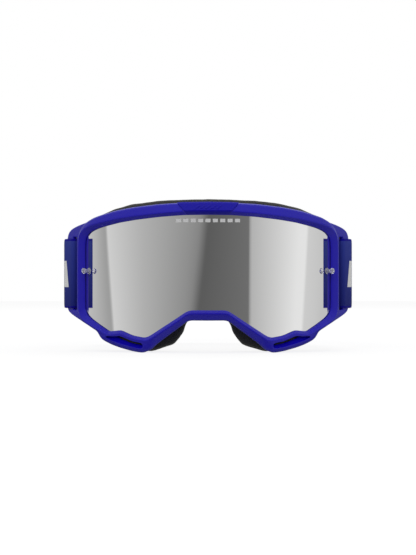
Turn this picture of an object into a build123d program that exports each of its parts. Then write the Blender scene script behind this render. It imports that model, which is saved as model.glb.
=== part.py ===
from build123d import *
import os
from math import atan2, ceil, cos, hypot, radians, sin, sqrt, tan

# Motocross goggles: a soft moulded frame that holds a cylindrical mirror lens, layered face foam
# behind it, and an elastic head strap that loops round a bar in each side ear of the frame.
# Millimetres. +X is to the right seen from the front, +Y runs back towards the wearer's head,
# +Z is up. The origin is on the floor, midway between front and back and between left and right.

os.makedirs("parts", exist_ok=True)

# ---- lens ----
lens_radius = 98.0            # front face of the cylindrical lens
lens_thickness = 1.2
lens_tuck = 2.4               # how far the lens reaches into the groove of the rim
groove_depth = 2.8
groove_gap = 0.2              # between the lens and each side of the groove
groove_backing = 0.4          # least rim behind the end of the groove

# ---- rim and body of the frame ----
side_reach = 83.8             # half the width over the sides of the rim
rim_proud = 3.45              # crest of the rim in front of the lens
rear_lip = 2.0                # lip of the rim behind the lens
wall = 2.2
wall_taper = 1.2              # the wall is this much thicker at the rim
shoulder_share = 0.86         # share of the slope outside the crest where the shoulder is
shoulder_depth = 5.0          # from the crest back to where the front of the rim turns into the wall
shoulder_round = 1.6          # the shoulder starts this much before that
face_radius = 131.0           # the curve of the face, at the back of the flange
face_depth = 30.0             # from the lens front to the back of the flange, on the centre line
flange_thickness = 2.5

# ---- face foam, three layers glued one behind the other ----
foam_layers = {"foam_base": 6.0, "foam_middle": 7.0, "foam_fleece": 2.0}
foam_inset = 1.0              # inner edge of the foam inside the inner edge of the flange
foam_gap = 0.12               # glue line

# ---- side ears and the strap ----
ear_reach = 91.0              # half the width over the ears
ear_thickness = 2.4
ear_foot_depth = 50.3         # where the plate grows out of the side of the rim, behind the lens front
ear_end_depth = 60.6          # centre of the bar's outer end, behind the lens front
ear_margin = 9.0              # plate above and below the slot
slot_room = 0.9               # above and below the strap
slot_gap = 0.2                # between the strap and the side of the rim
strap_middle = 49.8           # height of the middle of the strap
strap_width = 45.0
strap_thickness = 1.4
strap_gap = 0.1               # between the strap and what it lies on
strap_lean = 5.0              # the straight run of the strap leans in towards the head
strap_run_start = 72.0        # straight run, as depths behind the lens front
strap_run_end = 160.0
bend = 4.0                    # radius of its turns near the bar
bar_spare = 0.15              # more room behind the bar's outer end
strap_stand_off = 0.4         # from the edge of the ear to the inner layer
bar_overrun = 1.0             # how far the outer layer runs on past the bar before it turns back
tail_end = 154.0
hem_length = 7.0
hem_thickness = 1.3

# ---- adjusters on the strap ----
adjuster_depth = 118.0        # its rest place, behind the lens front
adjuster_length = 16.0
adjuster_bar = 3.0
adjuster_bar_thickness = 1.6
adjuster_bar_corner = 0.5
adjuster_rail = 2.5
adjuster_rail_corner = 1.5
adjuster_gap = 0.25           # all round the two layers of strap, so that it slides

# ---- grip lines inside the back of the strap ----
grip_levels = {"strap_grip_lower": 36.8, "strap_grip_middle": 49.8, "strap_grip_upper": 62.8}
grip_width = 2.5
grip_thickness = 0.8
grip_angle = 55.0             # to each side of the middle of the back

# ---- tear-off posts ----
post_x = 75.7
post_z = 51.4
post_base_radius = 2.1
post_neck_radius = 1.3
post_head_radius = 1.9
post_shank_radius = 1.5
post_hole_gap = 0.1
post_base_height = 1.0
post_neck_length = 2.9
post_head_height = 1.6
post_head_chamfer = 0.5
post_shank_length = 3.2
cap_radius = 3.0
cap_thickness = 1.4
cap_gap = 0.06

# ---- brow plate and vents ----
brow_top = 19.3               # half widths of the plate
brow_bottom = 13.4
brow_thickness = 0.6
brow_gap = 0.05
vent_bar = 3.7                # rim left between the lens opening and the lower vent
vent_lip = 2.6                # rim left below the lower vent
vent_depth = 32.0             # from the lens front to the end of the cut, inside the body
vent_foam_thickness = 1.7
vent_foam_set_back = 1.0
vent_foam_depth = 3.0
top_vents = ((12.0, 17.0), (34.0, 17.0), (54.0, 12.0))     # middle and width of each slot
top_vent_length = 9.0
top_vent_set_back = 2.0       # moves the slots back from the middle of the top wall
top_vent_floor = 74.0
top_foam_thickness = 3.0
top_foam_half = 6.5
top_foam_reach = 60.0         # half its length, across
lobe_start = 40.9             # the cheek lobe: sections whose outer edge is further out than this
lobe_top = 13.6               # and whose lens opening is lower than this

# ---- clear room round the part, where cuts start and end ----
front_room = 10.0
rear_room = 60.0
height_room = 100.0

# ---- derived places ----
strap_bottom = strap_middle - strap_width / 2
slot_bottom = strap_bottom - slot_room
slot_top = strap_bottom + strap_width + slot_room
lean = radians(strap_lean)
ear_radius = ear_thickness / 2
ear_foot = (side_reach - 0.2, ear_foot_depth)
bar_end = (ear_reach - ear_radius, ear_end_depth)
tilt = atan2(bar_end[0] - ear_foot[0], bar_end[1] - ear_foot[1])
bar_start_x = side_reach + slot_gap + strap_thickness + strap_gap + ear_radius
bar_start = (bar_start_x, ear_end_depth - (bar_end[0] - bar_start_x) / tan(tilt))
layer_pitch = strap_thickness + strap_gap
run_start_x = ear_reach + strap_stand_off + layer_pitch + strap_thickness / 2
run_length = (strap_run_end - strap_run_start) / cos(lean)
run_end_x = run_start_x - run_length * sin(lean)
back_radius = run_end_x / cos(lean)
back_centre = strap_run_end - back_radius * sin(lean)
strap_back = back_centre + back_radius + strap_thickness / 2
front_reach = rim_proud + brow_gap + brow_thickness
lens_y = -(strap_back - front_reach) / 2        # where the lens front is on the Y axis


def on_lens(x, proud):
    """Depth of the lens cylinder at x, moved forward by proud."""
    return lens_y + lens_radius - sqrt((lens_radius + proud) ** 2 - x**2)


def on_face(x, behind):
    """Depth of the face curve at x, moved back by behind."""
    return lens_y + face_depth + face_radius - sqrt((face_radius - behind) ** 2 - x**2)


# The ring of the frame, from the middle of the brow round the right side to the middle of the nose.
# Each row is one cross-section: lens opening (x, z), outer edge of the frame (x, z), width of the
# bevel round the lens, width of the face flange, and how far the foam stands out past the frame.
rows = [
    (0.0, 86.2, 0.0, 94.4, 2.5, 12.0, 2.7),
    (15.0, 86.0, 15.5, 94.2, 2.5, 12.0, 2.7),
    (30.0, 85.0, 31.5, 93.3, 2.5, 12.0, 2.7),
    (45.5, 83.3, 47.8, 91.5, 2.6, 12.0, 2.4),
    (56.0, 81.7, 58.6, 89.6, 2.8, 12.0, 1.7),
    (63.5, 80.0, 66.5, 87.5, 3.0, 12.0, 0.6),
    (69.5, 78.4, 73.0, 85.4, 3.3, 12.0, 0.0),
    (73.4, 76.8, 78.0, 82.6, 3.8, 12.0, -0.4),
    (75.8, 75.2, 81.2, 79.4, 4.4, 12.0, -0.6),
    (77.3, 73.2, 83.0, 76.0, 4.7, 12.0, -0.8),
    (78.1, 70.6, 83.7, 72.0, 4.9, 12.0, -0.8),
    (78.4, 66.0, side_reach, 66.6, 4.9, 12.0, -0.8),
    (78.4, 31.0, side_reach, 30.4, 4.9, 12.0, -0.8),
    (78.2, 26.6, 83.6, 25.0, 4.9, 12.0, -0.8),
    (77.0, 23.6, 82.0, 20.8, 4.7, 12.0, -0.8),
    (74.6, 21.2, 78.6, 17.8, 4.2, 12.0, -0.8),
    (69.8, 17.9, 73.6, 14.6, 3.6, 12.0, -0.8),
    (66.6, 15.8, 70.8, 12.8, 3.2, 12.0, -0.8),
    (64.2, 14.2, 68.6, 9.8, 2.8, 12.0, -0.8),
    (62.5, 13.3, 66.4, 7.7, 2.6, 12.0, -0.8),
    (59.0, 13.3, 61.4, 5.0, 2.4, 12.0, -0.8),
    (54.8, 13.4, 55.6, 3.0, 2.2, 12.0, -0.8),
    (47.3, 10.8, 47.6, 1.0, 2.2, 12.0, -0.8),
    (40.4, 9.6, 41.0, 0.0, 2.2, 11.0, -0.6),
    (37.6, 10.2, 35.8, 2.0, 2.2, 10.0, 1.2),
    (34.6, 12.0, 31.2, 6.0, 2.0, 9.0, 4.0),
    (29.5, 15.4, 25.8, 10.0, 2.0, 9.0, 6.0),
    (21.5, 20.6, 18.0, 15.8, 2.0, 9.0, 3.0),
    (14.4, 25.3, 12.4, 19.6, 2.0, 9.0, 2.0),
    (11.0, 26.7, 10.0, 20.5, 2.0, 9.0, 0.8),
    (0.0, 26.9, 0.0, 20.6, 2.0, 9.0, 0.5),
]
longest_step = 6.0


def finer(coarse):
    """The same ring with sections in between, no further apart than the longest step."""
    fine = [coarse[0]]
    for here, there in zip(coarse, coarse[1:]):
        steps = ceil(hypot(there[2] - here[2], there[3] - here[3]) / longest_step)
        for step in range(1, steps + 1):
            fine.append(tuple(a + (b - a) * step / steps for a, b in zip(here, there)))
    return fine


class Station:
    """One cross-section plane of the ring, standing along Y from the lens opening outwards."""

    def __init__(self, row):
        self.x, self.z, outer_x, outer_z, self.bevel, self.flange, self.foam = row
        self.width = hypot(outer_x - self.x, outer_z - self.z)
        self.out_x = (outer_x - self.x) / self.width
        self.out_z = (outer_z - self.z) / self.width
        self.plane = Plane((self.x, 0, self.z), (self.out_x, 0, self.out_z), (-self.out_z, 0, self.out_x))

    def place(self, out):
        """The (x, z) place this far out from the lens opening."""
        return (self.x + out * self.out_x, self.z + out * self.out_z)

    def lens(self, out, proud):
        return (out, on_lens(self.place(out)[0], proud))

    def face(self, out, behind):
        return (out, on_face(self.place(out)[0], behind))


ring = [Station(row) for row in finer(rows)]


def rim_section(station):
    """Outline of the frame: bevel, crest, shoulder, wall, flange, rear lip and lens groove."""
    inner = max(groove_depth + groove_backing, station.width - wall - wall_taper)
    shoulder = station.bevel + shoulder_share * (station.width - station.bevel)
    crest = station.lens(station.bevel, rim_proud)
    return [
        station.lens(0, groove_gap),
        station.lens(0.2, 0.9),
        station.lens(station.bevel - 0.5, rim_proud - 0.15),
        crest,
        station.lens(station.bevel + 0.7, rim_proud - 0.3),
        (shoulder, crest[1] + shoulder_depth - shoulder_round),
        (shoulder + 0.09 * station.width, crest[1] + shoulder_depth + 1.0),
        station.face(station.width, -flange_thickness),
        station.face(station.width, 0),
        station.face(station.width - station.flange, 0),
        station.face(station.width - station.flange, -flange_thickness),
        station.face(station.width - wall, -flange_thickness),
        station.lens(inner, -lens_thickness - groove_gap - rear_lip),
        station.lens(0.3, -lens_thickness - groove_gap - rear_lip),
        station.lens(0.3, -lens_thickness - groove_gap),
        station.lens(groove_depth, -lens_thickness - groove_gap),
        station.lens(groove_depth, groove_gap),
    ]


def outline(out):
    """Closed outline of the ring, both sides, this far out from the lens opening."""
    half = [station.place(out) for station in ring]
    return half + [(-x, z) for x, z in reversed(half[1:-1])]


def front_plane(depth):
    """Plane facing the front, this far behind the lens front."""
    return Plane.XZ.offset(-lens_y - depth)


def along_bar(point, along, out):
    """A place from a point of the bar: along its length and out to the front of it, in plan."""
    return (
        point[0] + along * sin(tilt) + out * cos(tilt),
        lens_y + point[1] + along * cos(tilt) - out * sin(tilt),
    )


def on_run(depth, inward):
    """A place in plan on the straight run of the strap, moved in towards the head."""
    return (
        run_start_x - (depth - strap_run_start) * tan(lean) - inward * cos(lean),
        lens_y + depth - inward * sin(lean),
    )


def run_plane(side, depth, inward):
    """Level plane at mid height of the strap, its Y along the run on the given side."""
    x, y = on_run(depth, inward)
    return Plane((side * x, y, strap_middle), (cos(lean), side * sin(lean), 0), (0, 0, 1))


def post_plane(side):
    """Plane on the lens front at a tear-off post, facing out from the lens."""
    out = (side * post_x / lens_radius, -sqrt(1 - (post_x / lens_radius) ** 2), 0)
    return Plane((side * post_x, on_lens(post_x, 0), post_z), (0, 0, 1), out)


def top_middle(x):
    """Depth of the middle of the top wall at x."""
    return (on_lens(x, 0) + shoulder_depth + top_vent_set_back + on_face(x, -flange_thickness)) / 2


sides = {"left": -1, "right": 1}
slot_left = side_reach + strap_gap
wrap_radius = ear_radius + strap_gap + strap_thickness / 2
ear_root = 74.0
ear_outline = [
    (0, height_room), (ear_root, height_room), (ear_root, slot_top + 11.7), (80.8, slot_top + 9),
    (ear_reach - 4.4, slot_top + 6),
    (ear_reach - 1.4, slot_top + 3.4), (ear_reach, slot_top - 0.2), (ear_reach + 1, slot_top - 5),
    (ear_reach + 1, slot_bottom + 5), (ear_reach - 0.4, slot_bottom + 0.2),
    (ear_reach - 2.4, slot_bottom - 2.6), (side_reach - 0.5, slot_bottom - 6.1), (77.8, slot_bottom - 9.8),
    (ear_root, slot_bottom - 12.2), (69.0, 8.0), (60.0, -1), (0, -1),
]


# ---- frame ----
right_lobe = [
    station for station in ring if station.place(station.width)[0] > lobe_start and station.z < lobe_top
]
with BuildPart() as frame:
    for station in ring:
        with BuildSketch(station.plane):
            with BuildLine():
                Polyline(*rim_section(station), close=True)
            make_face()
    loft(ruled=True)
    # the ear: a leaning plate, joined to the rim above and below the slot
    with BuildSketch(Plane.XY.offset(slot_bottom - ear_margin)):
        with BuildLine():
            Line((ear_foot[0], lens_y + ear_foot[1]), along_bar(bar_end, 0, 0))
        trace(line_width=ear_thickness)
        with Locations(along_bar(bar_end, 0, 0)):
            Circle(ear_radius)
    extrude(amount=slot_top - slot_bottom + 2 * ear_margin)
    with BuildSketch(front_plane(-front_room)):
        with BuildLine():
            Polyline(*ear_outline, close=True)
        make_face()
    extrude(amount=-front_room - face_depth - rear_room, mode=Mode.INTERSECT)
    # the strap slot between the rim and the round inner edge of the bar
    with BuildSketch(Plane.XY.offset(slot_bottom)):
        with BuildLine():
            slot_corner = along_bar(bar_start, 0, 2 * ear_thickness)
            slot_front = lens_y + ear_foot_depth - 2 * ear_thickness
            slot_back = along_bar(bar_start, 0, -(bar_start[0] - slot_left) / cos(tilt))
            Polyline(
                (slot_left, slot_front), (slot_corner[0], slot_front), slot_corner, slot_back, close=True,
            )
        make_face()
        with Locations(along_bar(bar_start, 0, 0)):
            Circle(ear_radius, mode=Mode.SUBTRACT)
    extrude(amount=slot_top - slot_bottom, mode=Mode.SUBTRACT)
    # lower vent, a crescent through the front of the cheek lobe
    with BuildSketch(front_plane(-front_room)):
        with BuildLine():
            vent_upper = [station.place(vent_bar) for station in right_lobe]
            vent_lower = [station.place(station.width - vent_lip) for station in right_lobe[1:-1]]
            Polyline(*vent_upper, *reversed(vent_lower), close=True)
        make_face()
    extrude(amount=-front_room - vent_depth, mode=Mode.SUBTRACT)
    # slots through the top wall
    for middle, width in top_vents:
        with BuildSketch(Plane.XY.offset(top_vent_floor)):
            with Locations((middle, top_middle(middle))):
                SlotOverall(width, top_vent_length)
        extrude(amount=height_room - top_vent_floor, mode=Mode.SUBTRACT)
    mirror(about=Plane.YZ)
    frame.part.label = "frame"
export_step(frame.part, "parts/frame.step")

# ---- lens ----
with BuildPart() as lens:
    with BuildSketch(front_plane(-front_room)):
        with BuildLine():
            Polyline(*outline(lens_tuck), close=True)
        make_face()
    extrude(amount=-front_room - lens_radius)
    with BuildSketch(Plane.XY):
        with Locations((0, lens_y + lens_radius)):
            Circle(lens_radius)
            Circle(lens_radius - lens_thickness, mode=Mode.SUBTRACT)
    extrude(amount=height_room, mode=Mode.INTERSECT)
    for side in sides.values():
        with BuildSketch(post_plane(side).offset(-2 * lens_thickness)):
            Circle(post_shank_radius + post_hole_gap)
        extrude(amount=3 * lens_thickness, mode=Mode.SUBTRACT)
    lens.part.label = "lens"
export_step(lens.part, "parts/lens.step")

# ---- tear-off posts, each a snap-in stud held by a cap behind the lens ----
for name, side in sides.items():
    head_base = post_base_height + post_neck_length
    with BuildPart() as post:
        with BuildSketch(post_plane(side).offset(-post_shank_length)):
            Circle(post_shank_radius)
        extrude(amount=post_shank_length)
        with BuildSketch(post_plane(side)):
            Circle(post_base_radius)
        extrude(amount=post_base_height)
        with BuildSketch(post_plane(side).offset(post_base_height)):
            Circle(post_neck_radius)
        extrude(amount=post_neck_length)
        with BuildSketch(post_plane(side).offset(head_base)):
            Circle(post_head_radius)
        extrude(amount=post_head_height)
        tip = post.faces().sort_by(Axis(post_plane(side).origin, post_plane(side).z_dir))[-1]
        chamfer(tip.edges(), post_head_chamfer)
        post.part.label = f"tear_off_post_{name}"
    export_step(post.part, f"parts/tear_off_post_{name}.step")

    with BuildPart() as cap:
        with BuildSketch(post_plane(side).offset(-lens_thickness - cap_gap - cap_thickness)):
            Circle(cap_radius)
            Circle(post_shank_radius, mode=Mode.SUBTRACT)
        extrude(amount=cap_thickness)
        cap.part.label = f"post_cap_{name}"
    export_step(cap.part, f"parts/post_cap_{name}.step")

# ---- brow plate on the front of the rim ----
with BuildPart() as brow_plate:
    for station in [station for station in ring if station.x <= brow_top + longest_step]:
        with BuildSketch(station.plane):
            with BuildLine():
                surface = rim_section(station)[1:6]
                back = [(out, depth - brow_gap) for out, depth in surface]
                front = [(out, depth - brow_gap - brow_thickness) for out, depth in reversed(surface)]
                Polyline(*back, *front, close=True)
            make_face()
    loft(ruled=True)
    with BuildSketch(front_plane(-front_room)):
        with BuildLine():
            Polyline((0, rows[0][3]), (brow_top, rows[0][3]), (brow_bottom, rows[0][1]), (0, rows[0][1]), close=True)
        make_face()
    extrude(amount=-2 * front_room, mode=Mode.INTERSECT)
    mirror(about=Plane.YZ)
    brow_plate.part.label = "brow_plate"
export_step(brow_plate.part, "parts/brow_plate.step")

# ---- face foam ----
layer_front = foam_gap
for name, thickness in foam_layers.items():
    with BuildPart() as foam:
        for station in ring:
            with BuildSketch(station.plane):
                with BuildLine():
                    inner = station.width - station.flange - foam_inset
                    outer = station.width + station.foam
                    Polyline(
                        station.face(inner, layer_front), station.face(outer, layer_front),
                        station.face(outer, layer_front + thickness), station.face(inner, layer_front + thickness),
                        close=True,
                    )
                make_face()
        loft(ruled=True)
        mirror(about=Plane.YZ)
        foam.part.label = name
    export_step(foam.part, f"parts/{name}.step")
    layer_front += thickness + foam_gap

# ---- filter foam behind the vents ----
for name, side in sides.items():
    with BuildPart() as vent_foam:
        for station in right_lobe[1:-1]:
            with BuildSketch(station.plane):
                with BuildLine():
                    near = vent_bar + foam_gap
                    far = near + vent_foam_thickness
                    front = vent_foam_set_back
                    back = vent_foam_set_back + vent_foam_depth
                    Polyline(
                        station.lens(near, -front), station.lens(far, -front), station.lens(far, -back),
                        station.lens(near, -back), close=True,
                    )
                make_face()
        loft(ruled=True)
        if side < 0:
            mirror(about=Plane.YZ, mode=Mode.REPLACE)
        vent_foam.part.label = f"lower_vent_foam_{name}"
    export_step(vent_foam.part, f"parts/lower_vent_foam_{name}.step")

with BuildPart() as top_foam:
    for station in [station for station in ring if station.z > strap_middle and station.x < top_foam_reach]:
        with BuildSketch(station.plane):
            with BuildLine():
                high = station.width - wall - wall_taper - foam_gap
                middle = top_middle(station.x)
                Polyline(
                    (high, middle - top_foam_half), (high, middle + top_foam_half),
                    (high - top_foam_thickness, middle + top_foam_half),
                    (high - top_foam_thickness, middle - top_foam_half), close=True,
                )
            make_face()
    loft(ruled=True)
    mirror(about=Plane.YZ)
    top_foam.part.label = "top_vent_foam"
export_step(top_foam.part, "parts/top_vent_foam.step")

# ---- strap: one ribbon, tail to tail, round both bars and the back of the head ----
with BuildPart() as strap:
    with BuildSketch(Plane.XY.offset(strap_bottom)):
        with BuildLine():
            tail = FilletPolyline(
                on_run(tail_end, layer_pitch), on_run(strap_run_start, layer_pitch),
                along_bar(bar_end, 0, -wrap_radius - bar_spare), along_bar(bar_start, 0, -wrap_radius), radius=bend,
            )
            wrap = ThreePointArc(tail @ 1, along_bar(bar_start, -wrap_radius, 0), along_bar(bar_start, 0, wrap_radius))
            main = FilletPolyline(
                wrap @ 1, along_bar(bar_end, bar_overrun, wrap_radius), on_run(strap_run_start, 0),
                on_run(strap_run_end, 0), radius=bend,
            )
            CenterArc((0, lens_y + back_centre), back_radius, strap_lean, 90 - strap_lean)
        trace(line_width=strap_thickness)
    extrude(amount=strap_width)
    mirror(about=Plane.YZ)
    strap.part.label = "strap"
export_step(strap.part, "parts/strap.step")

# ---- folded hem at each tail, which stops the strap slipping out of its adjuster ----
for name, side in sides.items():
    with BuildPart() as hem:
        with BuildSketch(run_plane(side, tail_end - hem_length / 2, layer_pitch + strap_thickness / 2
                                   + strap_gap + hem_thickness / 2).offset(-strap_width / 2)):
            Rectangle(hem_thickness, hem_length)
        extrude(amount=strap_width)
        hem.part.label = f"strap_hem_{name}"
    export_step(hem.part, f"parts/strap_hem_{name}.step")

# ---- adjusters: two outer bars and one inner bar between two rails ----
pair = 2 * strap_thickness + strap_gap
bar_out = pair / 2 + adjuster_gap + adjuster_bar_thickness / 2
bar_span = strap_width + 2 * adjuster_gap
for name, side in sides.items():
    with BuildPart() as adjuster:
        middle = run_plane(side, adjuster_depth, layer_pitch / 2)
        for level in (bar_span / 2, -bar_span / 2 - adjuster_rail):
            with BuildSketch(middle.offset(level)):
                RectangleRounded(2 * bar_out + adjuster_bar_thickness, adjuster_length, adjuster_rail_corner)
            extrude(amount=adjuster_rail)
        with BuildSketch(middle.offset(-bar_span / 2)):
            bar_places = [
                (side * bar_out, adjuster_length / 2 - adjuster_bar / 2),
                (side * bar_out, adjuster_bar / 2 - adjuster_length / 2),
                (-side * bar_out, 0),
            ]
            with Locations(*bar_places):
                RectangleRounded(adjuster_bar_thickness, adjuster_bar, adjuster_bar_corner)
        extrude(amount=bar_span)
        adjuster.part.label = f"adjuster_{name}"
    export_step(adjuster.part, f"parts/adjuster_{name}.step")

# ---- silicone grip lines inside the back of the strap ----
for name, level in grip_levels.items():
    with BuildPart() as grip:
        with BuildSketch(Plane.XY.offset(level - grip_width / 2)):
            with BuildLine():
                grip_radius = back_radius - strap_thickness / 2 - grip_thickness / 2
                CenterArc((0, lens_y + back_centre), grip_radius, 90 - grip_angle, 2 * grip_angle)
            trace(line_width=grip_thickness)
        extrude(amount=grip_width)
        grip.part.label = name
    export_step(grip.part, f"parts/{name}.step")
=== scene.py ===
import bpy
import bmesh
from math import ceil, cos, hypot, pi, radians, sin, sqrt
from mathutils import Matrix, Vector


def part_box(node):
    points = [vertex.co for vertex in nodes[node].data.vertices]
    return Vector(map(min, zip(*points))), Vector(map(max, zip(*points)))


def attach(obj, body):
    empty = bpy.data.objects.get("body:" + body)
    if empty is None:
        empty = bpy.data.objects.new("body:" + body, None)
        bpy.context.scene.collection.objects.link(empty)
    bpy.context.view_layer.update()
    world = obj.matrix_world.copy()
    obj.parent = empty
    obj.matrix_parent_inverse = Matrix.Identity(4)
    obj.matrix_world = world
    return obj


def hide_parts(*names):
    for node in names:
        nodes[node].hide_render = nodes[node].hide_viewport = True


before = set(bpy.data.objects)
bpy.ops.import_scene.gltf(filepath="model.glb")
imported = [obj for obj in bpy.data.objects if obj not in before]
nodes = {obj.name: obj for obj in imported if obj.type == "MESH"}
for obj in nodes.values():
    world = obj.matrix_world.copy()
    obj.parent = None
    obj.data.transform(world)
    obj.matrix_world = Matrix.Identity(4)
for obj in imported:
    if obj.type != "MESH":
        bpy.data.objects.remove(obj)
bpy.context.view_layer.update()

# ---------------------------------------------------------------------------------------------
# Studio. A pale round floor, and an even white surround in which the mirror lens sees the soft
# boxes and the dark gap between them as upright bands. The camera stands straight in front.
# ---------------------------------------------------------------------------------------------
scene = bpy.context.scene
scene.view_settings.view_transform = "Standard"
lens_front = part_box("lens")[0].y
camera_distance = 1.4
eye_height = 0.0472

camera_data = bpy.data.cameras.new("camera")
camera_data.lens = 145.7
camera_data.sensor_width = 36.0
camera = bpy.data.objects.new("camera", camera_data)
camera.location = (0, lens_front - camera_distance, eye_height)
camera.rotation_euler = (radians(90), 0, 0)
scene.collection.objects.link(camera)
scene.camera = camera

floor_mesh = bmesh.new()
bmesh.ops.create_circle(floor_mesh, cap_ends=True, segments=96, radius=3.0)
floor_data = bpy.data.meshes.new("floor")
floor_mesh.to_mesh(floor_data)
floor_mesh.free()
floor = bpy.data.objects.new("floor", floor_data)
scene.collection.objects.link(floor)
paper = bpy.data.materials.new("floor_paper")
paper.use_nodes = True
paper_shader = paper.node_tree.nodes["Principled BSDF"]
paper_shader.inputs["Base Color"].default_value = (0.16, 0.16, 0.16, 1)
paper_shader.inputs["Roughness"].default_value = 0.9
paper_shader.inputs["Specular IOR Level"].default_value = 0.0
paper_shader.inputs["Emission Color"].default_value = (1, 1, 1, 1)
paper_shader.inputs["Emission Strength"].default_value = 0.85
floor_data.materials.append(paper)
floor.visible_glossy = False
floor.visible_diffuse = False

world = bpy.data.worlds.new("studio")
scene.world = world
world.use_nodes = True
sky = world.node_tree
sky.nodes.clear()


def add(tree, kind, **settings):
    """A new node in a tree, with its properties set."""
    node = tree.nodes.new(kind)
    for name, value in settings.items():
        setattr(node, name, value)
    return node


def math(tree, operation, first, second=None, third=None, clamp=False):
    """A maths node fed by sockets or numbers, and its result."""
    node = add(tree, "ShaderNodeMath", operation=operation, use_clamp=clamp)
    for place, value in enumerate((first, second, third)):
        if value is None:
            continue
        if isinstance(value, (int, float)):
            node.inputs[place].default_value = value
        else:
            tree.links.new(value, node.inputs[place])
    return node.outputs[0]


def ramp(tree, position, stops):
    """A grey value along a position, from pairs of position and value."""
    node = add(tree, "ShaderNodeValToRGB")
    elements = node.color_ramp.elements
    elements[0].position, elements[1].position = stops[0][0], stops[-1][0]
    elements[0].color = (stops[0][1],) * 3 + (1,)
    elements[1].color = (stops[-1][1],) * 3 + (1,)
    for place, value in stops[1:-1]:
        elements.new(place).color = (value,) * 3 + (1,)
    tree.links.new(position, node.inputs[0])
    return node.outputs[0]


# what the lens sees, by azimuth: 0.5 is the camera, 0.25 is square to the left, 0.75 to the right
bands = [
    (0.000, 0.75), (0.200, 0.60), (0.262, 0.37), (0.2715, 0.35), (0.2765, 0.66), (0.360, 0.46),
    (0.455, 0.29), (0.470, 0.25), (0.489, 0.110), (0.5875, 0.163), (0.5910, 0.47), (0.640, 0.62),
    (0.700, 0.81), (0.7205, 0.82), (0.7255, 0.64), (0.775, 0.58), (0.850, 0.65), (1.000, 0.75),
]
# how much each band leans with height: the middle value stands upright
leans = [
    (0.000, 0.5), (0.200, 0.5), (0.276, 0.875), (0.480, 0.025), (0.589, 0.5), (0.723, 0.2125), (0.800, 0.5),
    (1.000, 0.5),
]
direction = add(sky, "ShaderNodeTexCoord")
split = add(sky, "ShaderNodeSeparateXYZ")
sky.links.new(direction.outputs["Generated"], split.inputs[0])
toward_camera = math(sky, "MULTIPLY", split.outputs["Y"], -1.0)
azimuth = math(sky, "ARCTAN2", split.outputs["X"], toward_camera)
turn = math(sky, "MULTIPLY_ADD", azimuth, 1 / (2 * pi), 0.5)
lean = math(sky, "SUBTRACT", ramp(sky, turn, leans), 0.5)
elevation = math(sky, "MAXIMUM", math(sky, "MINIMUM", split.outputs["Z"], 0.05), -0.05)
leaning_turn = math(sky, "MULTIPLY_ADD", math(sky, "MULTIPLY", lean, elevation), 8 / (2 * pi), turn)
softboxes = ramp(sky, leaning_turn, bands)
# a dim ceiling, brighter behind the goggles than in front of them
overhead = add(sky, "ShaderNodeMapRange", interpolation_type="SMOOTHSTEP")
overhead.inputs["From Min"].default_value = 0.25
overhead.inputs["From Max"].default_value = 0.85
sky.links.new(split.outputs["Z"], overhead.inputs["Value"])
ceiling = add(sky, "ShaderNodeMix", data_type="RGBA")
ceiling.inputs["B"].default_value = (0.75, 0.75, 0.76, 1)
sky.links.new(overhead.outputs[0], ceiling.inputs["Factor"])
sky.links.new(softboxes, ceiling.inputs["A"])
seen = add(sky, "ShaderNodeLightPath")
white = add(sky, "ShaderNodeMix", data_type="RGBA")
white.inputs["B"].default_value = (1, 1, 1, 1)
sky.links.new(seen.outputs["Is Camera Ray"], white.inputs["Factor"])
sky.links.new(ceiling.outputs["Result"], white.inputs["A"])
background = add(sky, "ShaderNodeBackground")
sky.links.new(white.outputs["Result"], background.inputs["Color"])
# reflections that look down and away see the shade under the goggles
looking_down = math(sky, "MULTIPLY", split.outputs["Z"], -6.0, clamp=True)
looking_away = math(sky, "MULTIPLY", split.outputs["Y"], 3.0, clamp=True)
shade = math(sky, "MULTIPLY", math(sky, "MULTIPLY", looking_down, looking_away), 0.85)
shade = math(sky, "MULTIPLY", shade, seen.outputs["Is Glossy Ray"])
sky.links.new(math(sky, "SUBTRACT", 1.0, shade), background.inputs["Strength"])
sky_out = add(sky, "ShaderNodeOutputWorld")
sky.links.new(background.outputs[0], sky_out.inputs["Surface"])


def softbox(name, place, size, watts):
    """A square area light aimed at the middle of the goggles."""
    data = bpy.data.lights.new(name, "AREA")
    data.size = size
    data.energy = watts
    lamp = bpy.data.objects.new(name, data)
    lamp.location = place
    aim = Vector((0, -0.06, 0.045)) - Vector(place)
    lamp.rotation_euler = aim.to_track_quat("-Z", "Y").to_euler()
    lamp.visible_glossy = False
    scene.collection.objects.link(lamp)
    return lamp


softbox("key_front", (-0.2, -1.7, 0.9), 1.4, 14)
softbox("back_fill", (0.3, 1.3, 1.3), 1.2, 10)

# ---------------------------------------------------------------------------------------------
# Frame. One soft polyurethane moulding with a satin skin: a rim with a raised crest and a bevel
# round the lens, a body wall back to the face flange, and an ear with a strap slot on each side.
# It is built as a ring of sections drawn out one after another, and smoothed.
# ---------------------------------------------------------------------------------------------
MM = 0.001
lens_radius = 98.0
lens_gap = 0.2
lens_thickness = 1.2
rim_proud = 3.45
rear_lip = 2.0
flange_thickness = 2.5
wall = 2.2
face_radius = 131.0
face_depth = 30.0
shoulder_share = 0.86
slope_fall = 3.4
vent_bar = 3.7
vent_lip = 2.6

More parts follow.
